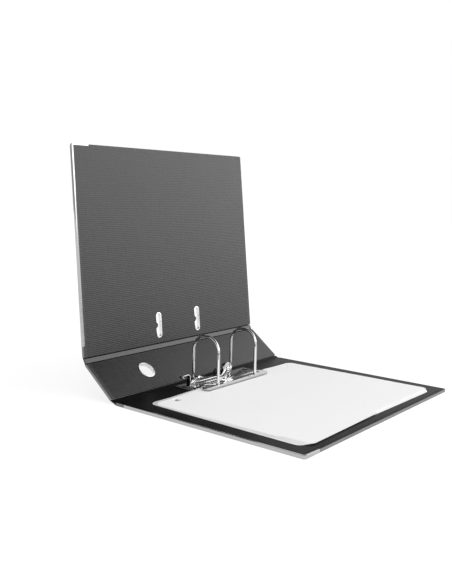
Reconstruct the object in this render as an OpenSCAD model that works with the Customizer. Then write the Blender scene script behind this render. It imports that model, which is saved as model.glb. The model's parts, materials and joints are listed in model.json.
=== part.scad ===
// Lever arch file, lying open on its back cover, with its front cover stood up and a few punched sheets on
// the posts. The origin is on the underside of the back cover, midway between the two filing posts. +X runs
// to the back cover's fore edge, +Y along the spine away from the metal-railed edge, and +Z up.

/* [Covers] */
// Height of the boards, along the spine
cover_h = 344; // [300:1:420]
// Width of each cover, from its crease to its fore edge
cover_w = 271; // [225:1:330]
// Finished thickness of a covered board
cover_t = 3.8; // [3.1:0.1:4.6]
// Thickness of the outer cloth
cloth_t = 0.4; // [0.3:0.05:0.5]
// Thickness of the inner lining
lining_t = 0.4; // [0.3:0.05:0.5]
// Width of the cloth turned over the inner face
turn_in = 5; // [4:0.5:8]
// Radius of the fore corners
corner_r = 3; // [1:0.5:6]
// How far the mechanism sits from the middle of the covers, away from the railed edge
mech_shift = 4; // [0:0.5:10]

/* [Spine and creases] */
// Width of the spine, crease to crease
spine_w = 60; // [48:1:75]
// Width of each hinge strip, crease to crease
strip_w = 8; // [6:0.5:10]
// Thickness of a hinge strip
strip_t = 1.8; // [1.2:0.1:2.4]
// Gap from a crease to the board beside it
crease_gap = 0.9; // [0.8:0.1:1.5]
// Gap from a crease to the hinge strip beside it
strip_gap = 0.3; // [0.25:0.05:0.5]
// Bend at each crease of the back hinge
back_bend = 18.5; // [0:0.1:45]
// Bend at each crease of the front hinge
front_bend = 23.5; // [0:0.1:45]

/* [Edge rails] */
// Thickness of the rail's metal
rail_t = 0.4; // [0.3:0.05:0.5]
// Width of the rail's legs, over each face of the cover
rail_leg = 2; // [1.6:0.1:3]
// Distance from the crease to the start of the rail
rail_start = 15; // [10:1:30]
// Length of the rail's return along the fore edge
rail_return = 27; // [15:1:40]

/* [Finger ring and label] */
// Radius of the finger ring's bore
ring_bore_r = 11; // [9:0.5:13]
// Wall of the ring's barrel
ring_wall = 0.7; // [0.5:0.1:1]
// Width of the ring's flange, beyond the bore
ring_flange = 1.3; // [1.1:0.1:2]
// Thickness of the ring's flange
ring_flange_t = 0.7; // [0.5:0.1:0.9]
// Distance from the railed end of the spine to the ring's centre
ring_from_end = 83; // [60:1:110]
// Width of the spine label
label_w = 47; // [38:1:56]
// Distance from the far end of the spine to the label
label_from_end = 16; // [10:1:30]
// Distance from the middle of the finger ring to the label
label_from_ring = 49; // [40:1:60]
// Thickness of the label
label_t = 0.25; // [0.2:0.05:0.3]

/* [Slots in the front cover] */
// Clear length of each slot
slot_len = 33; // [28:1:40]
// Clear width of each slot
slot_w = 8; // [7:0.5:10]
// Radius of the waist pressed into one side of the slot
waist_r = 5; // [4:0.5:7]
// Depth of the waist
waist_depth = 3; // [2:0.1:3.6]
// Wall of the eyelet's barrel
eyelet_wall = 0.5; // [0.4:0.1:0.7]
// Width of the eyelet's rim, beyond the clear slot
eyelet_rim = 1.2; // [1:0.1:2]
// Thickness of the eyelet's rim
eyelet_rim_t = 0.4; // [0.3:0.05:0.5]
// How far the slots lie from the middle of the arches, towards the hinge
slot_shift = 1; // [0:0.5:4]

/* [Base plate] */
// Length of the base plate, along the spine
plate_len = 150; // [136:1:180]
// Distance from the arches' pivot to the plate's spine-side edge
plate_edge = 3.4; // [2.8:0.1:4]
// Width of the base plate on the fore side of the posts
plate_front = 12; // [10:0.5:16]
// Thickness of the base plate
plate_t = 1; // [0.8:0.1:1.2]
// Radius of the rivets' shanks
rivet_r = 2; // [1.7:0.1:2.4]
// Radius of the rivets' heads
rivet_head_r = 3.6; // [3:0.1:4.3]
// Thickness of the rivets' outer heads
rivet_head_t = 0.7; // [0.5:0.1:0.9]
// Distance of the rivets from the plate's edges
rivet_inset = 6.5; // [5:0.5:8]
// Height of the plate's stiffening beads
bead_h = 0.6; // [0.3:0.1:0.7]

/* [Posts and arches] */
// Distance between the posts
post_pitch = 80; // [67:1:96]
// Radius of the posts
post_r = 2.05; // [1.8:0.05:2.4]
// How far the shoulder at the foot of each post stands out
shoulder_step = 0.3; // [0.2:0.05:0.4]
// Radius of the arch wire
wire_r = 1.9; // [1.6:0.05:2.2]
// Distance from the posts back to the arches' pivot
arch_reach = 43; // [36:0.5:52]
// Distance from the arches' pivot back to the crease
pivot_to_crease = 5; // [4.5:0.1:6]
// Height of the arches' pivot above the base plate
pivot_h = 3.2; // [3:0.1:3.8]
// Radius of the wire's bends, along its centre line
wire_bend = 4; // [3.5:0.5:5]
// Gap between the arches and the eyelets' rims when the file is closed
arch_top_gap = 0.3; // [0.3:0.1:2]
// Straight length of wire over the middle of each arch
arch_crown = 5; // [0:0.5:8]
// Straight length of wire at each tip
tip_len = 0.8; // [0.6:0.1:2]
// Gap between the tips and the posts
tip_gap = 0.3; // [0.3:0.05:0.5]

/* [Lever] */
// Distance from the arches' pivot to the lever's middle plane
lever_reach = 20.5; // [17:0.5:25]
// Height of the lever's pivot above the base plate
lever_pivot_h = 13.6; // [12:0.1:14.4]
// Distance of the lever's pivot beyond the middle of the mechanism
lever_pivot_y = 4; // [3:0.5:9]
// Outer width of the lever's channel
lever_w = 6; // [5.5:0.1:6.5]
// Thickness of the lever's metal
lever_t = 0.9; // [0.8:0.05:1]
// Radius of the lever's round head
head_r = 9; // [8.4:0.1:9.4]
// Length from the pivot to the end of the channel
lever_len = 75.5; // [62:0.5:91]
// Height of the channel
arm_h = 5; // [4.5:0.1:5.5]
// Gap under the arm
arm_gap = 3; // [2.4:0.1:3.6]
// Radius of the pivot pin
pin_r = 2; // [1.7:0.1:2.3]
// Running clearance of pins in their holes
run_gap = 0.06; // [0.02:0.01:0.1]
// Thickness of the upright bracket
bracket_t = 3; // [2.5:0.1:3.5]

/* [Finger tab] */
// Width of the finger tab
tab_w = 6; // [5:0.5:8]
// Thickness of the finger tab
tab_t = 1; // [0.8:0.1:1.2]
// Height of the finger tab above the underside of the arm
tab_h = 16.5; // [13.5:0.5:20]
// Radius of the tab's upper curl, along its centre line
tab_curl_r = 3.5; // [3:0.1:4.5]
// Length of the tab's outward lip
tab_lip = 8.5; // [7:0.5:11]
// Radius of the rolled edge at the lip's end, along its centre line
tab_roll_r = 1.7; // [1.4:0.1:2.1]

/* [Roller] */
// Radius of the roller
roller_r = 4; // [3.6:0.1:4.4]
// Width of the roller
roller_w = 5; // [4:0.1:5.4]
// Radius of the roller's pin
roller_pin_r = 1.5; // [1.3:0.1:1.8]
// Distance of the roller from the lever's pivot, along the lever
roller_out = 8; // [6.6:0.1:9.6]
// Gap between the roller and the crank
roller_gap = 0.3; // [0.3:0.05:0.5]

/* [Compressor bar] */
// Length of the bar, from the middle of the mechanism towards the lever's tab
bar_near = 68; // [56:1:82]
// Length of the bar the other way
bar_far = 61; // [50:1:74]
// Width of the bar on the spine side of the posts
bar_back = 8; // [6.5:0.5:10]
// Width of the bar on the fore side of the posts
bar_front = 7.5; // [6:0.5:11]
// Height of the bar
bar_h = 3.4; // [2.8:0.1:4.1]
// How far the bar stands above the sheets when it is down
bar_rise = 1.2; // [0.3:0.1:1.5]
// Thickness of the bar's metal
bar_t = 0.8; // [0.6:0.1:1]
// Length of the slots for the posts
bar_slot_len = 16; // [13:0.5:19.5]
// Clearance between the bar and the posts' shoulders
bar_slot_gap = 0.6; // [0.4:0.1:1]

/* [Sheets] */
// Number of sheets
sheet_count = 3; // [1:1:4]
// Thickness of a sheet
sheet_t = 0.4; // [0.3:0.05:0.45]
// Width of a sheet
sheet_w = 221; // [184:1:245]
// Length of a sheet
sheet_len = 298; // [270:1:330]
// Distance from the sheet's edge to the middle of its holes
sheet_margin = 12; // [10:0.5:12]
// How far the holes sit from the middle of the sheet's edge
sheet_shift = 3; // [0:0.5:5]
// Play of the holes on the posts
hole_play = 0.35; // [0.3:0.05:0.6]
// Radius of the sheets' corners
sheet_corner_r = 10; // [5:1:15]
// Turn of the outer sheets about the middle of the holes, one each way
sheet_turn = 1.1; // [0:0.1:1.4]

/* [Hidden] */
$fn = 64;
cut = 1;             // how far a cutting shape runs past the face it cuts
fit_gap = 0.04;      // gap round a piece that is clinched or glued in place

half_h = cover_h / 2;
board_t = cover_t - cloth_t - lining_t;
axis_z = cover_t / 2;
plate_z = cover_t + plate_t;
pivot_x = -arch_reach;
pivot_z = plate_z + pivot_h;
crease_a = pivot_x - pivot_to_crease;
crease_b = crease_a - strip_w;
crease_c = crease_b - spine_w;
crease_d = crease_c - strip_w;
// When the file is closed each hinge strip lies at 45 degrees, and the front cover's inner face is this high
closed_inner_z = spine_w + strip_w * sqrt(2);
arch_r = (arch_reach - arch_crown) / 2;
arch_z = closed_inner_z - eyelet_rim_t - arch_top_gap - wire_r - arch_r;
tip_z = arch_z - tip_len;
post_top = tip_z - tip_gap;
bearing_y = post_pitch / 2 - 9;
bearing_w = 5;
plate_back = arch_reach + plate_edge;
sheets_z = plate_z + sheet_count * sheet_t;
bar_z = sheets_z + bar_rise;
shoulder_r = post_r + shoulder_step;
shoulder_top = bar_z + bar_h + 0.25;
hole_r = shoulder_r + hole_play + sin(sheet_turn) * post_pitch / 2;
lever_x = arch_reach - lever_reach;
lever_z = plate_z + lever_pivot_h;
arm_z = plate_z + arm_gap;
arm_end = lever_pivot_y - lever_len;
crank_top = pivot_z + wire_r;
crank_y = bearing_y - bearing_w / 2 - wire_bend - 2.5;
crank_reach = 1.25 * roller_out;
roller_z = crank_top + roller_gap + roller_r;
roller_y = lever_pivot_y - roller_out;
roller_x = pivot_x + crank_reach;
rivet_z = arm_z + 4.6;
rivet_y = arm_end + 3.2;
tab_y = arm_end - 1;
slot_x = arch_reach / 2 + pivot_to_crease - slot_shift;
label_len = cover_h - label_from_end - ring_from_end - label_from_ring;

/* ---- helpers ---- */

// Points along an arc, from angle a0 to a1
function arc(x, y, r, a0, a1, n = 6) =
    [for (i = [0:n]) [x + r * cos(a0 + (a1 - a0) * i / n), y + r * sin(a0 + (a1 - a0) * i / n)]];

// Points of a rectangle with round corners, about its own centre
function rounded(w, h, r) = concat(
    arc(w / 2 - r, h / 2 - r, r, 0, 90), arc(r - w / 2, h / 2 - r, r, 90, 180),
    arc(r - w / 2, r - h / 2, r, 180, 270), arc(w / 2 - r, r - h / 2, r, 270, 360));

// Points of a slot with round ends, its length along X
function stadium(len, w) = concat(
    arc((len - w) / 2, 0, w / 2, -90, 90, 14), arc((w - len) / 2, 0, w / 2, 90, 270, 14));

// A box given by its two corners
module box(lo, hi) {
    translate(lo) cube(hi - lo);
}

// Turns what lies on the spine side of a crease up by an angle
module bend(x, angle) {
    translate([x, 0, axis_z]) rotate([0, angle, 0]) translate([-x, 0, -axis_z]) children();
}

// Moves the boards so that the mechanism sits off their middle
module off_middle() { translate([0, -mech_shift, 0]) children(); }

module at_back_strip() { bend(crease_a, back_bend) children(); }
module at_spine() { at_back_strip() bend(crease_b, back_bend) children(); }
module at_front_strip() { at_spine() bend(crease_c, front_bend) children(); }

// The back cover is drawn from its crease outwards, and so is the front cover, as its mirror image
module at_back_cover() { off_middle() translate([crease_a, 0, 0]) children(); }
module at_front_cover() {
    off_middle() at_front_strip() bend(crease_d, front_bend)
        translate([crease_d, 0, 0]) mirror([1, 0, 0]) children();
}

/* ---- covered boards ---- */

// Outline of a panel whose cloth ends at its fore edge, moved in from the edges by inset
module cover_outline(inset) {
    end = cover_w - inset;
    side = half_h - inset;
    r = max(corner_r - inset, 0.2);
    polygon(concat([[crease_gap, side], [crease_gap, -side]],
        arc(end - r, r - side, r, -90, 0, 4), arc(end - r, side - r, r, 0, 90, 4)));
}

// Outline of the spine panel, which has a crease on both sides
module spine_outline(inset) {
    translate([crease_c + crease_gap, inset - half_h])
        square([spine_w - 2 * crease_gap, cover_h - 2 * inset]);
}

// The part of a cover's face that the edge rail's legs lie on, grown inwards by grow
module rail_area(grow = 0) {
    start = rail_start - grow;
    leg = rail_leg + grow;
    translate([start, -half_h - cut]) square([cover_w - start + cut, leg + cut]);
    translate([cover_w - leg, -half_h - cut]) square([leg + cut, rail_return + grow + cut]);
}

// The board is rebated under the rail's legs, so that cloth and rail lie flush with the rest
module cover_board_form() {
    difference() {
        translate([0, 0, cloth_t]) linear_extrude(board_t) cover_outline(cloth_t);
        translate([0, 0, cloth_t - cut]) linear_extrude(rail_t + cut) rail_area(cloth_t);
        translate([0, 0, cover_t - lining_t - rail_t]) linear_extrude(rail_t + cut) rail_area(cloth_t);
    }
}

module cover_cloth_form() {
    difference() {
        linear_extrude(cover_t) cover_outline(0);
        cover_board_form();
        translate([0, 0, cover_t - lining_t]) linear_extrude(lining_t + cut) cover_outline(turn_in);
        translate([0, 0, -cut]) linear_extrude(rail_t + cut) rail_area();
        translate([0, 0, cover_t - rail_t]) linear_extrude(rail_t + cut) rail_area();
    }
}

module cover_lining_form() {
    translate([0, 0, cover_t - lining_t]) linear_extrude(lining_t) cover_outline(turn_in);
}

// A U of thin metal along the near edge, round the corner and a little way up the fore edge
module edge_rail_form() {
    difference() {
        linear_extrude(cover_t) intersection() {
            cover_outline(-rail_t);
            rail_area();
        }
        translate([0, 0, rail_t]) linear_extrude(cover_t - 2 * rail_t) cover_outline(0);
    }
}

/* ---- back cover ---- */

module at_rivets() {
    xs = [rivet_inset - plate_back, plate_front - rivet_inset];
    for (x = xs, y = [-1, 1] * (plate_len / 2 - rivet_inset))
        translate([x, y, 0]) children();
}

// Holes that the rivets need in everything they go through
module rivet_holes() {
    at_rivets() {
        translate([0, 0, -cut]) cylinder(r = rivet_r + fit_gap, h = plate_z + 2 * cut);
        translate([0, 0, -cut]) cylinder(r = rivet_head_r + fit_gap, h = rivet_head_t + cut);
    }
}

module back_board() {
    color("tan") difference() {
        at_back_cover() cover_board_form();
        rivet_holes();
    }
}

module back_cloth() {
    color("dimgray") difference() {
        at_back_cover() cover_cloth_form();
        rivet_holes();
    }
}

module back_lining() {
    color("gray") difference() {
        at_back_cover() cover_lining_form();
        rivet_holes();
    }
}

module back_edge_rail() {
    color("silver") at_back_cover() edge_rail_form();
}

// Pressed plate with two stiffening beads and a bored lug at each end of the arches' crossbar
module base_plate() {
    mid_x = (plate_front - plate_back) / 2;
    lug_r = wire_r + 1.7;
    bead_r = 1.5;
    bead_x = rivet_inset + 4 - plate_back;
    bead_end = -sheet_margin - 3.5;
    color("silver") difference() {
        union() {
            translate([mid_x, 0, cover_t])
                linear_extrude(plate_t) polygon(rounded(plate_front + plate_back, plate_len, 4));
            for (y = [-1, 1] * (post_pitch / 2 + 12))
                intersection() {
                    translate([bead_x, y, plate_z + bead_h - bead_r])
                        rotate([0, 90, 0]) cylinder(r = bead_r, h = bead_end - bead_x);
                    box([-plate_back, -plate_len / 2, cover_t], [plate_front, plate_len / 2, pivot_z]);
                }
            for (y = [-1, 1] * bearing_y) {
                translate([pivot_x, y - bearing_w / 2, pivot_z]) rotate([-90, 0, 0])
                    cylinder(r = lug_r, h = bearing_w);
                box([pivot_x - lug_r + 0.3, y - bearing_w / 2, cover_t + plate_t / 2],
                    [pivot_x + lug_r - 0.3, y + bearing_w / 2, pivot_z]);
            }
        }
        for (y = [-1, 1] * bearing_y)
            translate([pivot_x, y - bearing_w / 2 - cut, pivot_z]) rotate([-90, 0, 0])
                cylinder(r = wire_r + run_gap, h = bearing_w + 2 * cut);
        translate([0, 0, cover_t - cut]) linear_extrude(plate_t + 2 * cut)
            for (x = [rivet_inset - plate_back, plate_front - rivet_inset],
                 y = [-1, 1] * (plate_len / 2 - rivet_inset))
                translate([x, y]) circle(r = rivet_r + 0.8 + fit_gap);
    }
}

// Flush rivets: a head on the underside of the cover and a clinched end level with the plate
module plate_rivets() {
    color("silver") at_rivets() {
        cylinder(r = rivet_head_r, h = rivet_head_t);
        cylinder(r = rivet_r, h = cover_t);
        translate([0, 0, cover_t]) cylinder(r = rivet_r + 0.8, h = plate_t);
    }
}

// A post with a shoulder at its foot and a small bevel round its top
module post(y) {
    top = post_top - 0.4;
    color("silver") translate([0, y, 0]) rotate_extrude() polygon([
        [0, plate_z], [shoulder_r, plate_z], [shoulder_r, shoulder_top],
        [post_r, shoulder_top], [post_r, top], [post_r - 0.4, post_top], [0, post_top]]);
}

module near_post() { post(-post_pitch / 2); }
module far_post() { post(post_pitch / 2); }

// Upright that carries the lever: a tapered leaf with a round top, on a foot spot-welded to the plate
module lever_bracket() {
    top_r = pin_r + 2.6;
    color("silver") {
        difference() {
            translate([-lever_x - bracket_t / 2, lever_pivot_y, lever_z]) rotate([90, 0, 90])
                linear_extrude(bracket_t) difference() {
                    union() {
                        circle(r = top_r);
                        polygon([[-top_r + 0.3, 0], [top_r - 0.3, 0],
                            [7.5, -lever_pivot_h], [-4, -lever_pivot_h]]);
                    }
                    circle(r = pin_r + fit_gap);
                }
        }
        box([-lever_x - lever_w / 2, lever_pivot_y + 1, plate_z],
            [-lever_x + lever_w / 2, lever_pivot_y + 16, plate_z + lever_t]);
    }
}

// Riveted pivot pin with a low domed head on each side of the lever
module lever_pin() {
    half = lever_w / 2 + 0.1;
    head = [[0, 0], [pin_r + 1.4, 0], [pin_r + 1.4, 0.4], [pin_r + 0.7, 1], [pin_r - 0.6, 1.3], [0, 1.4]];
    color("silver") translate([-lever_x, lever_pivot_y, lever_z]) rotate([0, 90, 0]) {
        translate([0, 0, -half]) cylinder(r = pin_r, h = 2 * half);
        translate([0, 0, half]) rotate_extrude() polygon(head);
        translate([0, 0, -half]) mirror([0, 0, 1]) rotate_extrude() polygon(head);
    }
}

// Punched sheets, fanned a little about the posts
module filing_sheets() {
    spread = sheet_count > 1 ? 2 * sheet_turn / (sheet_count - 1) : 0;
    color("white") for (i = [0:sheet_count - 1])
        translate([0, 0, plate_z + i * sheet_t]) rotate([0, 0, i * spread - sheet_turn])
            linear_extrude(sheet_t) difference() {
                translate([sheet_w / 2 - sheet_margin, -sheet_shift])
                    polygon(rounded(sheet_w, sheet_len, sheet_corner_r));
                for (y = [-1.5, -0.5, 0.5, 1.5] * post_pitch)
                    translate([0, y]) circle(r = hole_r);
            }
}

/* ---- hinge strips and spine ---- */

module strip_form(crease) {
    box([crease - strip_w + strip_gap, -half_h, axis_z - strip_t / 2],
        [crease - strip_gap, half_h, axis_z + strip_t / 2]);
}

module back_hinge_strip() {
    color("dimgray") off_middle() at_back_strip() strip_form(crease_a);
}

module front_hinge_strip() {
    color("dimgray") off_middle() at_front_strip() strip_form(crease_c);
}

spine_mid = (crease_b + crease_c) / 2;

module at_ring() {
    translate([spine_mid, ring_from_end - half_h, 0]) children();
}

module ring_hole() {
    at_ring() translate([0, 0, -cut]) cylinder(r = ring_bore_r + ring_wall + fit_gap, h = cover_t + 2 * cut);
}

module spine_board() {
    color("tan") off_middle() at_spine() difference() {
        translate([0, 0, cloth_t]) linear_extrude(board_t) spine_outline(cloth_t);
        ring_hole();
    }
}

module spine_cloth() {
    color("dimgray") off_middle() at_spine() difference() {
        linear_extrude(cover_t) spine_outline(0);
        translate([0, 0, cloth_t]) linear_extrude(board_t) spine_outline(cloth_t);
        translate([0, 0, cover_t - lining_t]) linear_extrude(lining_t + cut) spine_outline(turn_in);
        ring_hole();
    }
}

module spine_lining() {
    color("gray") off_middle() at_spine() difference() {
        translate([0, 0, cover_t - lining_t]) linear_extrude(lining_t) spine_outline(turn_in);
        ring_hole();
    }
}

// Flanged barrel pressed through the spine from outside
module finger_ring() {
    lip = 0.3;
    rim_r = ring_bore_r + ring_flange;
    color("silver") off_middle() at_spine() at_ring() rotate_extrude($fn = 96) polygon([
        [ring_bore_r, lip - ring_flange_t], [ring_bore_r + lip, -ring_flange_t],
        [rim_r - lip, -ring_flange_t], [rim_r, lip - ring_flange_t], [rim_r, 0],
        [ring_bore_r + ring_wall, 0], [ring_bore_r + ring_wall, cover_t + ring_flange_t],
        [ring_bore_r, cover_t + ring_flange_t]]);
}

// Washer that the barrel is clinched over, on the inner face
module ring_washer() {
    hole_edge = ring_bore_r + ring_wall + fit_gap;
    rim_r = ring_bore_r + ring_flange;
    top = cover_t + ring_flange_t;
    color("silver") off_middle() at_spine() at_ring() rotate_extrude($fn = 96) polygon([
        [hole_edge, cover_t], [rim_r, cover_t], [rim_r, top - ring_flange_t / 2],
        [rim_r - 0.3, top], [hole_edge, top]]);
}

module spine_label() {
    mid_y = half_h - label_from_end - label_len / 2;
    color("whitesmoke") off_middle() at_spine() translate([spine_mid, mid_y, -label_t])
        linear_extrude(label_t) polygon(rounded(label_w, label_len, 1));
}

/* ---- front cover ---- */

// Outline of a slot with a waist on its near side, grown outwards by grow
module slot_outline(grow) {
    difference() {
        polygon(stadium(slot_len + 2 * grow, slot_w + 2 * grow));
        translate([0, -slot_w / 2 - waist_r + waist_depth]) circle(r = waist_r - grow);
    }
}

module at_slot(y) {
    translate([slot_x, y + mech_shift, 0]) children();
}

module slot_holes() {
    for (y = [-1, 1] * post_pitch / 2)
        at_slot(y) translate([0, 0, -cut]) linear_extrude(cover_t + 2 * cut)
            slot_outline(eyelet_wall + fit_gap);
}

module front_board() {
    color("tan") at_front_cover() difference() {
        cover_board_form();
        slot_holes();
    }
}

module front_cloth() {
    color("dimgray") at_front_cover() difference() {
        cover_cloth_form();
        slot_holes();
    }
}

module front_lining() {
    color("gray") at_front_cover() difference() {
        cover_lining_form();
        slot_holes();
    }
}

module front_edge_rail() {
    color("silver") at_front_cover() edge_rail_form();
}

// Metal eyelet round a slot: a barrel with a rim on each face of the cover
module slot_eyelet(y) {
    color("silver") at_front_cover() at_slot(y) difference() {
        union() {
            translate([0, 0, -eyelet_rim_t]) linear_extrude(eyelet_rim_t) slot_outline(eyelet_rim);
            linear_extrude(cover_t) slot_outline(eyelet_wall);
            translate([0, 0, cover_t]) linear_extrude(eyelet_rim_t) slot_outline(eyelet_rim);
        }
        translate([0, 0, -cut]) linear_extrude(cover_t + 2 * cut) slot_outline(0);
    }
}

module near_slot_eyelet() { slot_eyelet(-post_pitch / 2); }
module far_slot_eyelet() { slot_eyelet(post_pitch / 2); }

/* ---- arches ---- */

// A straight length of wire along Z, and a bend that starts along Z and turns towards X
module wire(len) { cylinder(r = wire_r, h = len); }
module wire_turn(r, angle) {
    rotate([90, 0, 0]) translate([r, 0, 0]) rotate([0, 0, 180 - angle])
        rotate_extrude(angle = angle) translate([r, 0]) circle(r = wire_r);
}

// One leg, two quarter bends with a short straight between them, and the tip that comes down on the post
module arch_hoop() {
    foot = pivot_z + wire_bend;
    translate([pivot_x, 0, foot]) wire(arch_z - foot);
    translate([pivot_x, 0, arch_z]) wire_turn(arch_r, 90);
    translate([pivot_x + arch_r, 0, arch_z + arch_r]) rotate([0, 90, 0]) wire(arch_crown);
    translate([-arch_r, 0, arch_z + arch_r]) rotate([0, 90, 0]) wire_turn(arch_r, 90);
    translate([0, 0, tip_z + 0.4]) wire(tip_len - 0.4);
    translate([0, 0, tip_z]) cylinder(r1 = wire_r - 0.4, r2 = wire_r, h = 0.4);
}

// Half of the wire: a hoop, the bend at its foot, the crossbar and half of the crank
module half_arch_wire() {
    foot_y = post_pitch / 2;
    translate([0, foot_y, 0]) arch_hoop();
    translate([pivot_x, foot_y, pivot_z + wire_bend]) mirror([0, 0, 1]) rotate([0, 0, -90])
        wire_turn(wire_bend, 90);
    translate([pivot_x, foot_y - wire_bend, pivot_z]) rotate([90, 0, 0])
        wire(foot_y - crank_y - 2 * wire_bend);
    translate([pivot_x, crank_y + wire_bend, pivot_z]) rotate([90, 0, 0]) wire_turn(wire_bend, 90);
    translate([pivot_x + wire_bend, crank_y, pivot_z]) rotate([0, 90, 0]) wire(crank_reach - 2 * wire_bend);
    translate([pivot_x + crank_reach - wire_bend, crank_y, pivot_z]) rotate([0, 90, 0]) rotate([0, 0, -90])
        wire_turn(wire_bend, 90);
    translate([pivot_x + crank_reach, 0, pivot_z]) rotate([-90, 0, 0]) wire(crank_y - wire_bend);
}

module arch_wire() {
    color("silver") {
        half_arch_wire();
        mirror([0, 1, 0]) half_arch_wire();
    }
}

/* ---- lever ---- */

// Side view of a lever wall, with Y along the view's X and the pivot at the origin
module lever_wall(ear) {
    arm_lo = arm_z - lever_z;
    arm_hi = arm_lo + arm_h;
    difference() {
        union() {
            circle(r = head_r);
            polygon([[3 - lever_len, arm_lo], [-3, arm_lo], [1, arm_lo + 3.6], [1, 1], [-7.6, 0],
                [-13, arm_hi], [3 - lever_len, arm_hi]]);
            translate([rivet_y - lever_pivot_y, rivet_z - lever_z]) circle(r = 3.6);
            if (ear)
                translate([-roller_out, roller_z - lever_z]) circle(r = roller_pin_r + 2.2);
        }
        circle(r = pin_r + run_gap);
        translate([rivet_y - lever_pivot_y, rivet_z - lever_z]) circle(r = 1.5 + fit_gap);
        if (ear)
            translate([-roller_out, roller_z - lever_z]) circle(r = roller_pin_r + fit_gap);
    }
}

// Rim that closes the head between its walls, open below for the bracket
module head_rim() {
    difference() {
        circle(r = head_r);
        circle(r = head_r - lever_t);
        polygon([[0, 0], 2 * head_r * [cos(42), sin(42)], [2 * head_r, -2 * head_r],
            [-2 * head_r, -2 * head_r], [-2 * head_r, 0], 2 * head_r * [cos(165), sin(165)]]);
    }
}

module lever_arm() {
    color("silver") {
        translate([lever_w / 2 - lever_x - lever_t, lever_pivot_y, lever_z]) rotate([90, 0, 90])
            mirror([0, 0, 1]) linear_extrude(lever_w - 2 * lever_t) head_rim();
        translate([-lever_x + lever_w / 2 - lever_t, lever_pivot_y, lever_z]) rotate([90, 0, 90])
            linear_extrude(lever_t) lever_wall(false);
        translate([-lever_x - lever_w / 2, lever_pivot_y, lever_z]) rotate([90, 0, 90])
            linear_extrude(lever_t) lever_wall(true);
        box([-lever_x - lever_w / 2 + lever_t, arm_end + 10, arm_z + arm_h - lever_t],
            [-lever_x + lever_w / 2 - lever_t, lever_pivot_y - 13.5, arm_z + arm_h]);
    }
}

// Centre line of the finger tab in side view, from the arm's end up and out to the rolled edge of its lip
function tab_line() =
    let (z1 = arm_z + tab_h - tab_curl_r, end_y = tab_y - tab_curl_r - tab_lip)
    concat([[tab_y, arm_z + 0.6], [tab_y, z1]],
        arc(tab_y - tab_curl_r, z1, tab_curl_r, 10, 90, 7),
        [[end_y, z1 + tab_curl_r]],
        arc(end_y, z1 + tab_curl_r - tab_roll_r, tab_roll_r, 110, 300, 10));

// A line's points moved sideways by d, each along the normal of its neighbours
function beside(p, d) = [for (i = [0:len(p) - 1])
    let (a = p[max(i - 1, 0)], b = p[min(i + 1, len(p) - 1)], n = norm(b - a))
    p[i] + d / n * [a[1] - b[1], b[0] - a[0]]];

// Curled finger tab on a block that fills the end of the channel
module finger_tab() {
    line = tab_line();
    back = beside(line, -tab_t / 2);
    width = lever_w - 2 * lever_t - 2 * fit_gap;
    color("silver") {
        translate([-lever_x - tab_w / 2, 0, 0]) rotate([90, 0, 90]) linear_extrude(tab_w)
            polygon(concat(beside(line, tab_t / 2), [for (i = [len(back) - 1:-1:0]) back[i]]));
        difference() {
            box([-lever_x - width / 2, tab_y, arm_z + 0.6],
                [-lever_x + width / 2, arm_end + 9, arm_z + 7.5]);
            translate([-lever_x - width, rivet_y, rivet_z]) rotate([0, 90, 0])
                cylinder(r = 1.5 + fit_gap, h = 2 * width);
        }
    }
}

module tab_rivet() {
    half = lever_w / 2;
    head = [[0, 0], [2.6, 0], [2.6, 0.2], [1.8, 0.8], [0, 1]];
    color("silver") translate([-lever_x, rivet_y, rivet_z]) rotate([0, 90, 0]) {
        translate([0, 0, -half]) cylinder(r = 1.5, h = 2 * half);
        translate([0, 0, half]) rotate_extrude() polygon(head);
        translate([0, 0, -half]) mirror([0, 0, 1]) rotate_extrude() polygon(head);
    }
}

/* ---- roller ---- */

module roller_pin() {
    wall_x = -lever_x - lever_w / 2;
    outer_x = roller_x - roller_w / 2 - 0.3;
    inner_x = roller_x + roller_w / 2 + 0.3;
    color("silver") translate([outer_x, roller_y, roller_z]) rotate([0, 90, 0]) {
        cylinder(r = roller_pin_r, h = wall_x + lever_t - outer_x);
        translate([0, 0, inner_x - outer_x]) cylinder(r = roller_pin_r + 1, h = wall_x - inner_x);
        translate([0, 0, -1]) cylinder(r = roller_pin_r + 1, h = 1);
    }
}

module pressure_roller() {
    bevel = 0.5;
    half = roller_w / 2;
    color("dimgray") translate([roller_x, roller_y, roller_z]) rotate([0, 90, 0]) rotate_extrude() polygon([
        [roller_pin_r + run_gap, -half], [roller_r - bevel, -half], [roller_r, bevel - half],
        [roller_r, half - bevel], [roller_r - bevel, half], [roller_pin_r + run_gap, half]]);
}

/* ---- compressor bar ---- */

// Plan of the bar: the corners on the lever's side are cut back
function bar_plan(inset) =
    let (far = bar_far - inset, near = bar_near - inset, lo = inset - bar_back, hi = bar_front - inset)
    let (r = 3 - inset, big = 9 - inset)
    concat(arc(hi - r, far - r, r, 0, 90, 4), arc(lo + big, far - big, big, 90, 180, 8),
        arc(lo + big, big - near, big, 180, 270, 8), arc(hi - r, r - near, r, 270, 360, 4));

// A pressed lid with a turned-down rim, on two slots for the posts
module compressor_bar() {
    color("silver") difference() {
        translate([0, 0, bar_z]) linear_extrude(bar_h) polygon(bar_plan(0));
        translate([0, 0, bar_z - cut]) linear_extrude(bar_h - bar_t + cut) polygon(bar_plan(bar_t));
        for (y = [-1, 1] * post_pitch / 2)
            translate([0, y, bar_z]) linear_extrude(bar_h + cut) rotate(90)
                polygon(stadium(bar_slot_len, 2 * (shoulder_r + bar_slot_gap)));
    }
}

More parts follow.
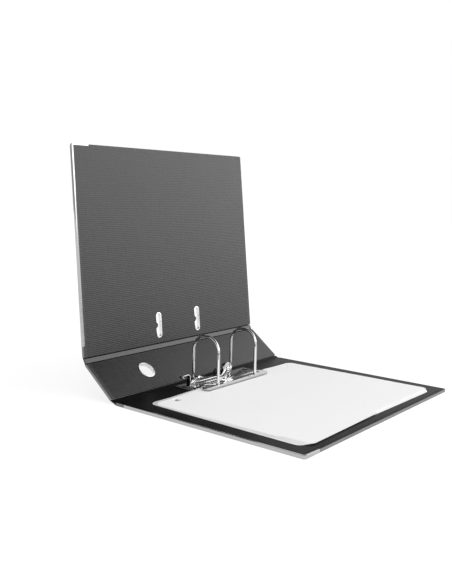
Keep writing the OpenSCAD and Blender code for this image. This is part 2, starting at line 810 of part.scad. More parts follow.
back_board();
back_cloth();
back_lining();
back_edge_rail();
base_plate();
plate_rivets();
near_post();
far_post();
lever_bracket();
lever_pin();
filing_sheets();
back_hinge_strip();
spine_board();
spine_cloth();
spine_lining();
finger_ring();
ring_washer();
spine_label();
front_hinge_strip();
front_board();
front_cloth();
front_lining();
front_edge_rail();
near_slot_eyelet();
far_slot_eyelet();
arch_wire();
lever_arm();
finger_tab();
tab_rivet();
roller_pin();
pressure_roller();
compressor_bar();
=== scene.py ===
# %% [markdown]
# # An open lever arch file, piece by piece
#
# A lever arch file is three cloth-covered boards joined by creases, with a pressed steel
# mechanism riveted to the back board. The measured pieces come first and never move. Each
# one is then given the edges, the folds and the finish that the real thing has, and where
# the measured shape is too plain a new piece takes its place.

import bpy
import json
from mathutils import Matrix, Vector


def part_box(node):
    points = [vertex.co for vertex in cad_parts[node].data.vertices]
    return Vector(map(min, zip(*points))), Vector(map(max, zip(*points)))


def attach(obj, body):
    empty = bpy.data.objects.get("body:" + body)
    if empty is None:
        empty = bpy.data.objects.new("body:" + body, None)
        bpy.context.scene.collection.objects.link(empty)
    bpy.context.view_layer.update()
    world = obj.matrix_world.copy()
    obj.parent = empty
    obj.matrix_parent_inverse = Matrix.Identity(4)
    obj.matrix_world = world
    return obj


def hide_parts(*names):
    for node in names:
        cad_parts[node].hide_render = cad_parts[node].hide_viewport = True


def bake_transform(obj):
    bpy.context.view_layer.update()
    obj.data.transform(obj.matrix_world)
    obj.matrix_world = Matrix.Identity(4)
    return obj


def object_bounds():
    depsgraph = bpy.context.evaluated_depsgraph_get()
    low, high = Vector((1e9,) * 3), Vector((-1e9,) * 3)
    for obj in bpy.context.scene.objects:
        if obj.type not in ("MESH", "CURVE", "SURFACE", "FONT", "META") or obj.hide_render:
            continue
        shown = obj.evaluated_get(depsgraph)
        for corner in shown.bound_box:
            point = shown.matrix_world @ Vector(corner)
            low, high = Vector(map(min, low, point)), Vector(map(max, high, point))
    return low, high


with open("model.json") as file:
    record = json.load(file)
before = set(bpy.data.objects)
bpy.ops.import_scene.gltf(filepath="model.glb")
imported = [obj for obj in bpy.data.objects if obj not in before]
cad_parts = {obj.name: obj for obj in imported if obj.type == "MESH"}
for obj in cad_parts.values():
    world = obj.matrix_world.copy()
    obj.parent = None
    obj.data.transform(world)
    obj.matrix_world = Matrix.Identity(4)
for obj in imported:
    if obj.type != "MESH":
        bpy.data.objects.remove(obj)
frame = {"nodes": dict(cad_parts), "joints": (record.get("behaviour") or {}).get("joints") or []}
cad_box = [list(corner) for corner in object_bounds()]

import json
import math

import bmesh
import bpy
from mathutils import Matrix, Vector

MM = 0.001

# %% [markdown]
# ## The file laid flat
#
# A bookbinder makes the cover flat on a bench, cloth face down, and only then folds it up
# at four creases. It is easiest to work the same way here: a piece is shaped in the flat
# layout and one function folds it to where it rests. The folds and their angles come from
# the joints, so the new pieces always meet the measured ones.

# %% Fold the flat layout at its creases
COVER_THICK = 3.8 * MM
STRIP_WIDE = 8 * MM
SPINE_WIDE = 60 * MM
CREASE_SOFT = 0.5 * MM   # half the width over which a crease bends
EDGE_GAP = 0.9 * MM      # from a crease to the covered board beside it

joints = {joint["name"]: joint for joint in frame["joints"]}
back_bend = math.radians(joints["back_strip_turn"]["range_deg"][1])
front_bend = math.radians(joints["front_strip_turn"]["range_deg"][1])
crease_a = joints["back_strip_turn"]["pos_m"][0]
crease_b = crease_a - STRIP_WIDE
crease_c = crease_b - SPINE_WIDE
crease_d = crease_c - STRIP_WIDE
creases = [
    (crease_a, back_bend), (crease_b, back_bend), (crease_c, front_bend), (crease_d, front_bend),
]


def folded(x):
    """The matrix that takes a point of the flat layout at this x to where it rests."""
    matrix = Matrix.Identity(4)
    for crease, bend in creases:
        share = min(max((crease + CREASE_SOFT - x) / (2 * CREASE_SOFT), 0), 1)
        if share:
            hinge = Matrix.Translation((crease, 0, COVER_THICK / 2))
            matrix = matrix @ hinge @ Matrix.Rotation(bend * share, 4, "Y") @ hinge.inverted()
    return matrix


on_spine = folded((crease_b + crease_c) / 2)
on_front = folded(crease_d - 0.1)
front_foot = on_spine @ Vector((crease_c, 0, COVER_THICK / 2))
front_joint = Vector(joints["front_strip_turn"]["pos_m"])
print("front crease off its joint by", (front_foot - front_joint).length)

# %% [markdown]
# ## Sharp corners made crisp
#
# Pressed steel, cut board and wrapped cloth never end in a perfect corner. A measured piece
# comes as loose triangles, so a copy is merged and its flat faces are joined up again, then
# every sharp edge gets a small round. The round is what catches the light along an edge.
#
# Smooth shading blends the light across an edge, which suits metal. On a panel the small
# round at the rim would bend the light on the whole wide face, so a panel's wide faces are
# shaded flat.

# %% Copy a measured piece and round its edges
MERGE = 0.002 * MM            # corners closer than this are one corner
FLAT = math.radians(0.6)      # faces that meet flatter than this are one face
SHARP = math.radians(28)      # edges sharper than this are rounded
SMOOTH = math.radians(35)     # edges flatter than this are shaded smooth
WIDE_FACE = 60 * MM * MM      # from this area on, a panel's face is shaded flat
PANEL_SLOTS = ("cloth", "lining", "label")


def finished(name, mesh, body, finish, slot, nodes):
    """Puts a mesh into the scene as a piece that stands for some measured nodes."""
    piece = bpy.data.objects.new(name, mesh)
    bpy.context.scene.collection.objects.link(piece)
    mesh.materials.clear()
    mesh.materials.append(finish)
    mesh.shade_smooth()
    mesh.set_sharp_from_angle(angle=SMOOTH)
    for face in mesh.polygons:
        face.use_smooth = slot not in PANEL_SLOTS or face.area < WIDE_FACE
    if body:
        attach(piece, body)
    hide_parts(*nodes)
    return piece


def clean_copy(node):
    """A measured piece as merged faces, ready for the operators."""
    shape = bmesh.new()
    shape.from_mesh(frame["nodes"][node].data)
    bmesh.ops.remove_doubles(shape, verts=shape.verts, dist=MERGE)
    bmesh.ops.dissolve_limit(shape, angle_limit=FLAT, verts=shape.verts, edges=shape.edges)
    return shape


def round_edges(shape, width, segments=2, chosen=None):
    """Rounds the sharp edges of a shape, or those of them that are chosen."""
    edges = [
        edge for edge in shape.edges
        if len(edge.link_faces) == 2 and edge.calc_face_angle() > SHARP
        and (chosen is None or chosen(edge))
    ]
    bmesh.ops.bevel(shape, geom=edges, offset=width, offset_type="OFFSET", segments=segments,
                    profile=0.5, affect="EDGES", clamp_overlap=True, material=-1)
    return len(edges)


def to_mesh(shape, name):
    """Turns a shape into a mesh and lets go of the shape."""
    mesh = bpy.data.meshes.new(name)
    shape.to_mesh(mesh)
    shape.free()
    return mesh


print("edges rounded from", round(math.degrees(SHARP)), "degrees")

# %% [markdown]
# ## A pattern that follows the cloth
#
# Weave and ribbing run with the sheet, not with the room, so each covered panel carries its
# own map: the place of every corner in the flat layout, in metres. A pattern then has its
# real size everywhere and turns with the panel when the file closes.

# %% Map a panel by its place in the flat layout
def map_flat(shape, to_flat):
    """Gives each corner its place in the flat layout; a rim runs on from its face."""
    layer = shape.loops.layers.uv.verify()
    shape.normal_update()
    turn = to_flat.to_3x3()
    for face in shape.faces:
        normal = turn @ face.normal
        for loop in face.loops:
            flat = to_flat @ loop.vert.co
            if abs(normal.z) >= max(abs(normal.x), abs(normal.y)):
                loop[layer].uv = (flat.x, flat.y)
            elif abs(normal.x) >= abs(normal.y):
                loop[layer].uv = (flat.x + flat.z, flat.y)
            else:
                loop[layer].uv = (flat.x, flat.y + flat.z)


print("panels are mapped in metres; the creases lie at", [round(x, 4) for x, bend in creases])

# %% [markdown]
# ## A painted sheen on the rim
#
# The rim of a cover is painted paler, a painted sheen for the light that the rim catches. The
# faces of the rim are easy to find in the flat layout, because they don't look up or down.
# They get a number of their own in an attribute, and the finish pales the black by it.

# %% Mark the rim for its painted sheen
FULL_RIM_SHEEN = 0.625   # how far a face must look sideways for this, from 0 to 1


def mark_rim_sheen(shape, to_flat):
    """Writes 0 on the wide faces, 1 on the rim and a step between on the round."""
    layer = shape.loops.layers.float.new("rubbed")
    shape.normal_update()
    turn = to_flat.to_3x3()
    for face in shape.faces:
        sideways = 1 - abs((turn @ face.normal).z)
        for loop in face.loops:
            loop[layer] = min(sideways / FULL_RIM_SHEEN, 1)


print("faces are fully rubbed from", FULL_RIM_SHEEN, "sideways")

# %% [markdown]
# ## Sums with sockets
#
# A finish is a small sum: so much weave, a little wear, a few fibres. One class lets a
# node's output be added and multiplied like a number, and one method adds any other node.

# %% Write node sums as plain arithmetic
class Value:
    """An output of a finish's node tree that can be used in sums."""

    def __init__(self, tree, socket=None):
        self.tree = tree
        self.socket = socket

    def node(self, kind, settings=None, inputs=None, output=0):
        """Adds a node: its settings first, then its sockets' values or links."""
        made = self.tree.nodes.new(kind)
        for key, setting in (settings or {}).items():
            setattr(made, key, setting)
        for key, source in (inputs or {}).items():
            if isinstance(source, Value):
                self.tree.links.new(source.socket, made.inputs[key])
            else:
                made.inputs[key].default_value = source
        return Value(self.tree, made.outputs[output])

    def sum(self, operation, first, second):
        return self.node("ShaderNodeMath", {"operation": operation}, {0: first, 1: second})

    def __add__(self, other):
        return self.sum("ADD", self, other)

    def __radd__(self, other):
        return self.sum("ADD", other, self)

    def __sub__(self, other):
        return self.sum("SUBTRACT", self, other)

    def __rsub__(self, other):
        return self.sum("SUBTRACT", other, self)

    def __mul__(self, other):
        return self.sum("MULTIPLY", self, other)

    def __rmul__(self, other):
        return self.sum("MULTIPLY", other, self)

    def clear_of(self, low, high):
        """0 below low, 1 above high and a smooth step between."""
        return self.node("ShaderNodeMapRange", {"interpolation_type": "SMOOTHSTEP"},
                         {"Value": self, "From Min": low, "From Max": high})


signs = [name for name in vars(Value) if name.endswith(("add__", "sub__", "mul__"))]
print("sums understood:", signs)

# %% [markdown]
# A finish is one shader with a few fixed numbers on its own sockets. Only its colour,
# roughness and bump are fed by sums. Every colour here is a grey, because cloth, paper and
# metal all are, so a blend of two greys by a factor does for most of them.

# %% Start a finish and feed it
def new_finish(name, **constants):
    """A material with one Principled shader, and the Value that starts its sums."""
    material = bpy.data.materials.new(name)
    material.use_nodes = True
    tree = material.node_tree
    shader = tree.nodes["Principled BSDF"]
    for key, constant in constants.items():
        shader.inputs[key.replace("_", " ")].default_value = constant
    return material, shader, Value(tree)


def feed(shader, key, value):
    """Links a value to one of the shader's sockets."""
    value.tree.links.new(value.socket, shader.inputs[key])


def grey(level):
    return (level, level, level, 1)


def mixed(start, factor, first, second):
    """A colour between two colours."""
    return start.node("ShaderNodeMix", {"data_type": "RGBA"}, {0: factor, 6: first, 7: second}, 2)


def blended(start, factor, dark, light):
    """A colour between two greys."""
    return mixed(start, factor, grey(dark), grey(light))


def raised(start, height, depth, strength):
    """A bump of a real depth in metres."""
    return start.node("ShaderNodeBump", {},
                      {"Height": height, "Distance": depth, "Strength": strength})


print("a grey:", grey(0.5))

# %% [markdown]
# ## Black book cloth
#
# The outside is cloth stuck to board: black, lightly calendered so that it shines softly,
# with a linen weave. The threads are waves along and across the map, a noise makes some of
# them thicker than others, and another one lets the shine wander as it does on real cloth.
#
# The back cover lies flat and is seen at a low angle, where even dull cloth mirrors the
# upright cover and turns grey. Its cloth is a darker, less glossy copy: painted shade that keeps
# it black.

# %% Mix the book cloth
WEAVE = 0.5 * MM   # from thread to thread


def thread(start, where, pitch, direction):
    """Rounded ribs one pitch apart that run across the given direction of the map."""
    return start.node(
        "ShaderNodeTexWave",
        {"wave_type": "BANDS", "bands_direction": direction, "wave_profile": "SIN"},
        {"Vector": where, "Scale": math.pi / 10 / pitch, "Distortion": 0.6, "Detail": 1.0,
         "Detail Scale": 0.4},
        "Fac",
    )


def noise(start, where, scale, detail, stretch=None):
    """Noise in per-metre scale, longer in one direction where stretch is given."""
    if stretch:
        where = start.node("ShaderNodeMapping", {}, {"Vector": where, "Scale": stretch})
    return start.node("ShaderNodeTexNoise", {},
                      {"Vector": where, "Scale": scale, "Detail": detail}, "Fac")


def cloth_finish(name, dark, light, gloss, shine, rim_sheen_grey):
    """Woven cloth between two greys, mixed paler on its rim as a painted sheen."""
    material, shader, start = new_finish(name, Specular_IOR_Level=gloss)
    where = start.node("ShaderNodeUVMap")
    across = thread(start, where, WEAVE, "X")
    along = thread(start, where, WEAVE, "Y")
    slubs = noise(start, where, 60, 3, (12, 1, 1)) + noise(start, where, 60, 3, (1, 12, 1))
    weave = across * 0.5 + along * 0.5 + (slubs - 1) * 0.8
    wander = noise(start, where, 14, 3)
    black = blended(start, (weave * 0.5 + wander * 0.5).clear_of(0.15, 0.85), dark, light)
    rim = start.node("ShaderNodeAttribute", {"attribute_name": "rubbed"}, output="Fac")
    rim_sheen = rim * (0.6 + 0.8 * wander)
    # painted sheen: the rim's colour is mixed towards a paler grey
    feed(shader, "Base Color", mixed(start, rim_sheen, black, grey(rim_sheen_grey)))
    feed(shader, "Roughness", wander * 0.12 + rim_sheen * 0.2 + (shine - 0.06))
    feed(shader, "Normal", raised(start, weave, 0.12 * MM, 0.5))
    return material


book_cloth = cloth_finish("black_book_cloth", 0.014, 0.036, 0.5, 0.42, 0.28)
# painted shade: the back cover's cloth is the same weave mixed darker and less glossy
shaded_book_cloth = cloth_finish("dull_book_cloth", 0.001, 0.004, 0.06, 0.42, 0.28)
print("cloth:", book_cloth.name, shaded_book_cloth.name)

# %% [markdown]
# ## Ribbed lining paper
#
# Inside, a sheet of black paper covers the turned-in cloth. It is rolled with fine ribs
# that run along the spine, and pulled a little unevenly both ways, which shows as soft
# streaks from far away. Ribs and streaks are mostly relief, because black paper has hardly
# any colour to vary and shows its surface by what it mirrors. The back cover's sheet is
# mixed darker and duller than the others, for the same reason as its cloth: painted shade.

# %% Mix the lining paper
LINING_RIB = 2.4 * MM   # from rib to rib


def lining_finish(name, gloss, dark, light):
    """Ribbed and streaked paper between two greys."""
    material, shader, start = new_finish(name, Specular_IOR_Level=gloss)
    where = start.node("ShaderNodeUVMap")
    ribs = thread(start, where, LINING_RIB, "X")
    streaks = noise(start, where, 40, 4, (1, 5, 1)) + noise(start, where, 40, 4, (5, 1, 1))
    mottle = noise(start, where, 14, 3)
    tone = ribs * 0.45 + (streaks - 0.9) * 1.5 + mottle * 0.4
    feed(shader, "Base Color", blended(start, tone.clear_of(0.1, 1.0), dark, light))
    feed(shader, "Roughness", mottle * 0.08 + streaks * 0.06 + 0.26)
    feed(shader, "Normal", raised(start, ribs + streaks * 1.5, 0.18 * MM, 0.4))
    return material


lining_paper = lining_finish("ribbed_lining_paper", 0.5, 0.002, 0.009)
# painted shade: the back cover's lining is the same paper mixed darker and duller
painted_shade_lining = lining_finish("matt_lining_paper", 0.05, 0.001, 0.004)
print("linings:", lining_paper.name, painted_shade_lining.name)

# %% [markdown]
# ## Bright metal
#
# The rings and eyelets are chromed, the rails are polished strip and the mechanism is
# nickel-plated. All are mirrors with faint rubbing: the roughness wanders a little and the
# surface is never quite flat, which breaks long reflections. Nickel is darker than chrome,
# and the rails are darker still and less sharp.

# %% Mix the platings
def plated_finish(name, level, rough, wave):
    """Metal of one grey, rubbed along its length and a little wavy."""
    material, shader, start = new_finish(name, Metallic=1.0)
    where = start.node("ShaderNodeTexCoord", output="Object")
    rubbing = noise(start, where, 900, 3, (1, 0.12, 1))
    ripple = noise(start, where, 120, 2)
    feed(shader, "Base Color", blended(start, rubbing, level - 0.05, level + 0.05))
    feed(shader, "Roughness", rubbing * rough + rough * 0.5)
    feed(shader, "Normal", raised(start, ripple, wave, 0.4))
    return material


chrome = plated_finish("chromed_steel", 0.8, 0.05, 0.04 * MM)
rail_steel = plated_finish("polished_rail_steel", 0.48, 0.08, 0.05 * MM)
nickel = plated_finish("nickel_plated_steel", 0.58, 0.04, 0.05 * MM)
print("platings:", chrome.name, rail_steel.name, nickel.name)

# %% [markdown]
# ## Board, sheet paper and moulded plastic
#
# Grey board is pressed waste paper with fibres and specks. The filing sheets are plain
# white paper with a faint cloudy formation. The roller is black moulded plastic.

# %% Mix the board, the paper and the plastic
def fibre_finish(name, dark, light, rough, depth):
    """A dull stuff with short fibres and clouds between two greys."""
    material, shader, start = new_finish(name, Roughness=rough, Specular_IOR_Level=0.3)
    where = start.node("ShaderNodeTexCoord", output="Object")
    fibres = noise(start, where, 1800, 4, (1, 0.3, 1))
    clouds = noise(start, where, 90, 3)
    feed(shader, "Base Color", blended(start, fibres * 0.6 + clouds * 0.4, dark, light))
    feed(shader, "Normal", raised(start, fibres, depth, 0.4))
    return material


grey_board = fibre_finish("grey_board", 0.3, 0.45, 0.85, 0.05 * MM)
sheet_paper = fibre_finish("white_sheet_paper", 0.84, 0.9, 0.75, 0.02 * MM)
black_plastic = fibre_finish("black_moulded_plastic", 0.03, 0.045, 0.4, 0.02 * MM)
print("dull finishes:", grey_board.name, sheet_paper.name, black_plastic.name)

# %% [markdown]
# ## The covered boards
#
# Each cover is a board wrapped in cloth that is turned over the inner face, with the
# lining sheet on top of the turned edge. The wrapped edge is round because the cloth
# bridges the board's corner, so only the outer edges of the cloth get a wide round.

# %% Wrap the three boards
TOUCHING = 0.05 * MM     # what is closer than this lies on a face or a rim
LEVEL = 0.01 * MM        # an edge that climbs less than this is level
CLOTH_ROUND = 0.8 * MM

panels = [
    ("back", "back_cover", Matrix.Identity(4)),
    ("spine", "spine", on_spine.inverted()),
    ("front", "front_cover", on_front.inverted()),
]

for name, body, to_flat in panels:
    cloth = clean_copy(f"{name}_cloth")
    flat_x = [(to_flat @ vert.co).x for vert in cloth.verts]
    flat_y = [vert.co.y for vert in cloth.verts]
    low, high = Vector((min(flat_x), min(flat_y))), Vector((max(flat_x), max(flat_y)))

    def on_outer_edge(edge):
        ends = [to_flat @ vert.co for vert in edge.verts]
        middle = (ends[0] + ends[1]) / 2
        level = abs(ends[0].z - ends[1].z) < LEVEL
        on_face = min(abs(middle.z), abs(middle.z - COVER_THICK)) < TOUCHING
        rim = min(middle.x - low.x, high.x - middle.x, middle.y - low.y, high.y - middle.y)
        return level and on_face and rim < TOUCHING

    count = round_edges(cloth, CLOTH_ROUND, 3, on_outer_edge)
    map_flat(cloth, to_flat)
    mark_rim_sheen(cloth, to_flat)
    wrap = shaded_book_cloth if name == "back" else book_cloth
    wrapped = f"{name}_wrapped_cloth"
    finished(wrapped, to_mesh(cloth, wrapped), body, wrap, "cloth", [f"{name}_cloth"])
    lining = clean_copy(f"{name}_lining")
    map_flat(lining, to_flat)
    paper = painted_shade_lining if name == "back" else lining_paper
    lined = f"{name}_lining_sheet"
    finished(lined, to_mesh(lining, lined), body, paper, "lining", [f"{name}_lining"])
    board = frame["nodes"][f"{name}_board"]
    board.data.materials.clear()
    board.data.materials.append(grey_board)
    print(name, "panel:", count, "wrapped edges")

# %% [markdown]
# ## The cloth of the strips
#
# Between the boards the cloth is glued over a narrow strip. It is the same weave as on the
# covers. In the two creases, where no light reaches, it is painted black as painted shade
# and made rough. The map's own x says how far a place is from each crease.

# %% Mix the cloth of the strips
CREASE_SHADE = 0.4 * MM   # how far beside a crease the cloth is painted black, as painted shade
CREASE_FADE = 0.9 * MM    # and over which the painted shade fades out


def strip_finish(name, gloss, first, second, dark, light):
    """Cloth with painted shade, black and dull, in its two creases."""
    material, shader, start = new_finish(name, Specular_IOR_Level=gloss)
    where = start.node("ShaderNodeUVMap")
    place = start.node("ShaderNodeSeparateXYZ", {}, {0: where}, "X")
    weave = thread(start, where, WEAVE, "X") * 0.5 + thread(start, where, WEAVE, "Y") * 0.5
    wander = noise(start, where, 14, 3)
    past_second = (place - (second + CREASE_SHADE)).clear_of(0, CREASE_FADE)
    before_first = ((first - CREASE_SHADE) - place).clear_of(0, CREASE_FADE)
    unshaded_cloth = past_second * before_first
    tone = (weave * 0.5 + wander * 0.5).clear_of(0.15, 0.85) * (light - dark) + dark
    # painted shade: the colour goes to black in the two creases
    feed(shader, "Base Color", blended(start, unshaded_cloth * tone, 0, 1))
    feed(shader, "Roughness", 0.95 - unshaded_cloth * 0.6)
    feed(shader, "Normal", raised(start, weave, 0.1 * MM, 0.4))
    return material


# painted shade: the back strip's cloth is mixed darker and less glossy than the front strip's
shaded_back_strip_cloth = strip_finish("back_folding_strip_cloth", 0.05, crease_a, crease_b, 0.001, 0.004)
front_strip_cloth = strip_finish("front_folding_strip_cloth", 0.5, crease_c, crease_d, 0.02, 0.05)
print("strip cloth:", shaded_back_strip_cloth.name, front_strip_cloth.name)

# %% [markdown]
# ## The folding strips
#
# On each side of a strip a thin web of cloth folds. One skin makes web, strip and web, so
# it can bend without tearing: a sheet is drawn flat, given its thickness, pinched in at
# the two creases and then folded. It meets the cover at one end and the spine at the
# other, where they rest.

# %% Make the two folding strips
WEB_LEVELS = (0.5 * MM, 1.3 * MM)     # the two faces of the skin where it folds
STRIP_LEVELS = (0.6 * MM, 3.1 * MM)   # and where it lies over the strip
WEB_HALF = 0.5 * MM                   # from a crease to where the skin starts to rise
RISE_WIDE = 0.5 * MM                  # over which it rises
SKIN_THICK = 1 * MM                   # before it gets its levels
SKIN_INSET = 0.5 * MM                 # how far its ends stay inside the strip's
TUCK = 0.35 * MM                      # how far the web runs into the covered boards


def smooth_share(value, low, high):
    """0 below low, 1 above high and a smooth step between, for plain numbers."""
    share = min(max((value - low) / (high - low), 0), 1)
    return share * share * (3 - 2 * share)


def strip_levels(x, first, second):
    """Heights of the skin's two faces at a place of the flat layout."""
    from_crease = min(abs(x - first), abs(x - second))
    rise = smooth_share(from_crease - WEB_HALF, 0, RISE_WIDE) if second < x < first else 0
    return [web + (strip - web) * rise for web, strip in zip(WEB_LEVELS, STRIP_LEVELS)]


def folding_strip(name, first, second, node, cloth):
    """One skin over the strip between two creases, folded at both."""
    low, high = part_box(node)
    wide = first - second + 2 * (EDGE_GAP + TUCK)
    tall = high.y - low.y
    skin = bmesh.new()
    bmesh.ops.create_grid(skin, x_segments=44, y_segments=24, size=0.5)
    bmesh.ops.scale(skin, verts=skin.verts, vec=(wide, tall - 2 * SKIN_INSET, 1))
    middle = Vector(((first + second) / 2, (low.y + high.y) / 2, COVER_THICK / 2))
    bmesh.ops.translate(skin, verts=skin.verts, vec=middle)
    bmesh.ops.solidify(skin, geom=skin.faces[:], thickness=SKIN_THICK)
    bmesh.ops.recalc_face_normals(skin, faces=skin.faces)
    zs = [vert.co.z for vert in skin.verts]
    split = (min(zs) + max(zs)) / 2
    for vert in skin.verts:
        outer, inner = strip_levels(vert.co.x, first, second)
        vert.co.z = inner if vert.co.z > split else outer
    map_flat(skin, Matrix.Identity(4))
    for vert in skin.verts:
        vert.co = folded(vert.co.x) @ vert.co
    piece = finished(name, to_mesh(skin, name), None, cloth, "strip", [node])
    start = folded(first + EDGE_GAP) @ Vector((first + EDGE_GAP, 0, COVER_THICK / 2))
    end = folded(second - EDGE_GAP) @ Vector((second - EDGE_GAP, 0, COVER_THICK / 2))
    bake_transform(piece)
    print(name, len(piece.data.polygons), "faces")


folding_strip("back_folding_strip", crease_a, crease_b,
              "back_hinge_strip", shaded_back_strip_cloth)
folding_strip("front_folding_strip", crease_c, crease_d,
              "front_hinge_strip", front_strip_cloth)

# %% [markdown]
# ## Metalwork
#
# Rails, rings and the mechanism are folded, pressed or turned. Their measured shapes are
# right, so each is copied and its edges are broken by the amount its maker leaves, in
# millimetres in the table. The compressor bar is drawn over a rounded punch, so its top
# edges are rounded much wider before the rest of it.

# %% Break the edges of the metalwork
BAR_ROUND = 1.1 * MM

metalwork = [
    ("back_edge_rail", "back_cover", rail_steel, "rail", 0.12),
    ("front_edge_rail", "front_cover", rail_steel, "rail", 0.12),
    ("finger_ring", "spine", chrome, "rail", 0.12),
    ("ring_washer", "spine", chrome, "rail", 0.12),
    ("near_slot_eyelet", "front_cover", chrome, "rail", 0.14),
    ("far_slot_eyelet", "front_cover", chrome, "rail", 0.14),
    ("base_plate", "back_cover", nickel, "plated", 0.22),
    ("plate_rivets", "back_cover", nickel, "plated", 0.15),
    ("near_post", "back_cover", nickel, "plated", 0.1),
    ("far_post", "back_cover", nickel, "plated", 0.1),
    ("lever_bracket", "back_cover", nickel, "plated", 0.25),
    ("lever_pin", "back_cover", nickel, "plated", 0.12),
    ("arch_wire", "arches", nickel, "plated", 0.08),
    ("lever_arm", "lever", nickel, "plated", 0.18),
    ("finger_tab", "lever", nickel, "plated", 0.22),
    ("tab_rivet", "lever", nickel, "plated", 0.1),
    ("roller_pin", "lever", nickel, "plated", 0.1),
    ("pressure_roller", "roller", black_plastic, "roller", 0.1),
    ("compressor_bar", "compressor", nickel, "plated", 0.3),
]
for node, body, finish, slot, width in metalwork:
    shape = clean_copy(node)
    if node == "compressor_bar":
        top = max(vert.co.z for vert in shape.verts) - TOUCHING
        round_edges(shape, BAR_ROUND, 3, lambda edge: min(end.co.z for end in edge.verts) > top)
    count = round_edges(shape, width * MM)
    finished(f"{node}_finished", to_mesh(shape, node), body, finish, slot, [node])
    print(node, count, "edges rounded")

# %% [markdown]
# ## The label
#
# The spine carries a bare paper label: a grey head, a white field ruled for writing and a
# black foot. Nothing is printed on it, so the parts are told apart by where they lie on
# the label's own map.

# %% Print and stick the label
FOOT_SHARE = 0.3        # of the label's length is black
HEAD_SHARE = 0.14       # and this much is the grey head
BORDER_SHARE = 0.002    # over which one part ends and the next begins
RULE_PITCH = 12 * MM


def label_finish(foot, head):
    """Paper whose tone depends on the height between the label's foot and head."""
    material, shader, start = new_finish("bare_spine_label", Roughness=0.45,
                                         Specular_IOR_Level=0.4)
    where = start.node("ShaderNodeUVMap")
    height = start.node("ShaderNodeSeparateXYZ", {}, {0: where}, "Y")
    length = head - foot
    foot_end = foot + length * FOOT_SHARE
    head_end = head - length * HEAD_SHARE
    in_foot = 1 - height.clear_of(foot_end, foot_end + length * BORDER_SHARE)
    in_head = height.clear_of(head_end, head_end + length * BORDER_SHARE)
    turns = height * (2 * math.pi / RULE_PITCH)
    rules = turns.node("ShaderNodeMath", {"operation": "SINE"}, {0: turns}).clear_of(0.97, 1.0)
    field = 0.82 - in_head * 0.25 - rules * 0.3 * (1 - in_head)
    tone = field * (1 - in_foot) + in_foot * 0.012
    feed(shader, "Base Color", blended(start, tone, 0, 1))
    fibres = noise(start, where, 1500, 3)
    feed(shader, "Normal", raised(start, fibres, 0.01 * MM, 0.3))
    return material


low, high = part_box("spine_label")
label = clean_copy("spine_label")
round_edges(label, 0.06 * MM, 1)
map_flat(label, on_spine.inverted())
finished("bare_label", to_mesh(label, "bare_label"), "spine", label_finish(low.y, high.y),
         "label", ["spine_label"])
print("label", round((high.y - low.y) / MM), "mm long")

# %% [markdown]
# ## The filing sheets
#
# Three punched sheets hang on the posts. Paper lies on whatever is under it: near the
# posts that is the base plate, and past its edge the sheets sink on to the lining and are
# never quite flat. The measured sheets are cut into small squares, then lowered and
# waved a little, and the loose corner by the fore edge lifts.

# %% Lay the sheets down
SQUARE = 7 * MM                           # the sheets are cut this small before they bend
SINK, SINK_WIDE = 1.1 * MM, 45 * MM       # how far they sink past the plate, and over what
WAVE, WAVE_WIDE = 0.12 * MM, 60 * MM      # how high they wave, and where that begins
LIFT = 0.3 * MM                           # how far the loose corner rises

sheets = clean_copy("filing_sheets")
low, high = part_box("filing_sheets")
for axis in (Vector((1, 0, 0)), Vector((0, 1, 0))):
    at = axis.dot(low) + SQUARE
    while at < axis.dot(high):
        bmesh.ops.bisect_plane(sheets, geom=sheets.verts[:] + sheets.edges[:] + sheets.faces[:],
                               plane_co=axis * at, plane_no=axis)
        at += SQUARE
plate_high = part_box("base_plate")[1]
for vert in sheets.verts:
    x, y = vert.co.x, vert.co.y
    past = math.hypot(max(0, x - plate_high.x), max(0, abs(y) - plate_high.y))
    layer = (vert.co.z - low.z) / (high.z - low.z)
    sink = SINK * smooth_share(past, 0, SINK_WIDE)
    swell = math.sin(x * 38 + 1) * math.sin(y * 27 + x * 9)
    wave = WAVE * swell * smooth_share(past, 0, WAVE_WIDE)
    to_corner = x - y - 0.9 * (high.x - low.y)
    lift = LIFT * layer * smooth_share(to_corner, -60 * MM, 40 * MM)
    vert.co.z += wave + lift - sink
finished("filing_sheet_stack", to_mesh(sheets, "filing_sheet_stack"), "back_cover", sheet_paper,
         "sheet", ["filing_sheets"])
print("sheets", round((high.x - low.x) / MM), "by", round((high.y - low.y) / MM), "mm")

# %% [markdown]
# ## The floor
#
# The file stands on a plain white floor. Most of what the camera sees of it is plain white
# that needs no light, and the rest is matt and takes the shadow. Further out the white
# takes over, so the floor ends without a line. Metal mirrors the same white.

# %% Lay the floor
FADE_FROM, FADE_TO = 0.45, 1.3   # metres from the middle over which the floor turns white
FLOOR_HALF = 6
FLOOR_GAP = 0.05 * MM            # between the floor and the file's underside


def end_tree(value, kind):
    """Ends a tree of shaders with its output node."""
    value.tree.links.new(value.socket, value.tree.nodes.new(kind).inputs["Surface"])


def floor_finish():
    """Matt white with a share of plain white, which grows with the distance."""
    material = bpy.data.materials.new("studio_floor")
    material.use_nodes = True
    material.node_tree.nodes.clear()
    start = Value(material.node_tree)
    seen = start.node("ShaderNodeLightPath", output="Is Camera Ray")
    mirrored = start.node("ShaderNodeLightPath", output="Is Glossy Ray")
    where = start.node("ShaderNodeTexCoord", output="Object")
    distance = start.node("ShaderNodeVectorMath", {"operation": "LENGTH"}, {0: where}, "Value")
    away = distance.clear_of(FADE_FROM, FADE_TO)
    matt = start.node("ShaderNodeBsdfDiffuse", {}, {"Color": grey(0.88)})
    white = start.node("ShaderNodeEmission", {}, {"Color": grey(1), "Strength": 1.12})
    share = seen * (0.75 + 0.25 * away) + mirrored * (0.6 + 0.35 * away)
    both = start.node("ShaderNodeMixShader", {}, {0: share, 1: matt, 2: white})
    end_tree(both, "ShaderNodeOutputMaterial")
    return material


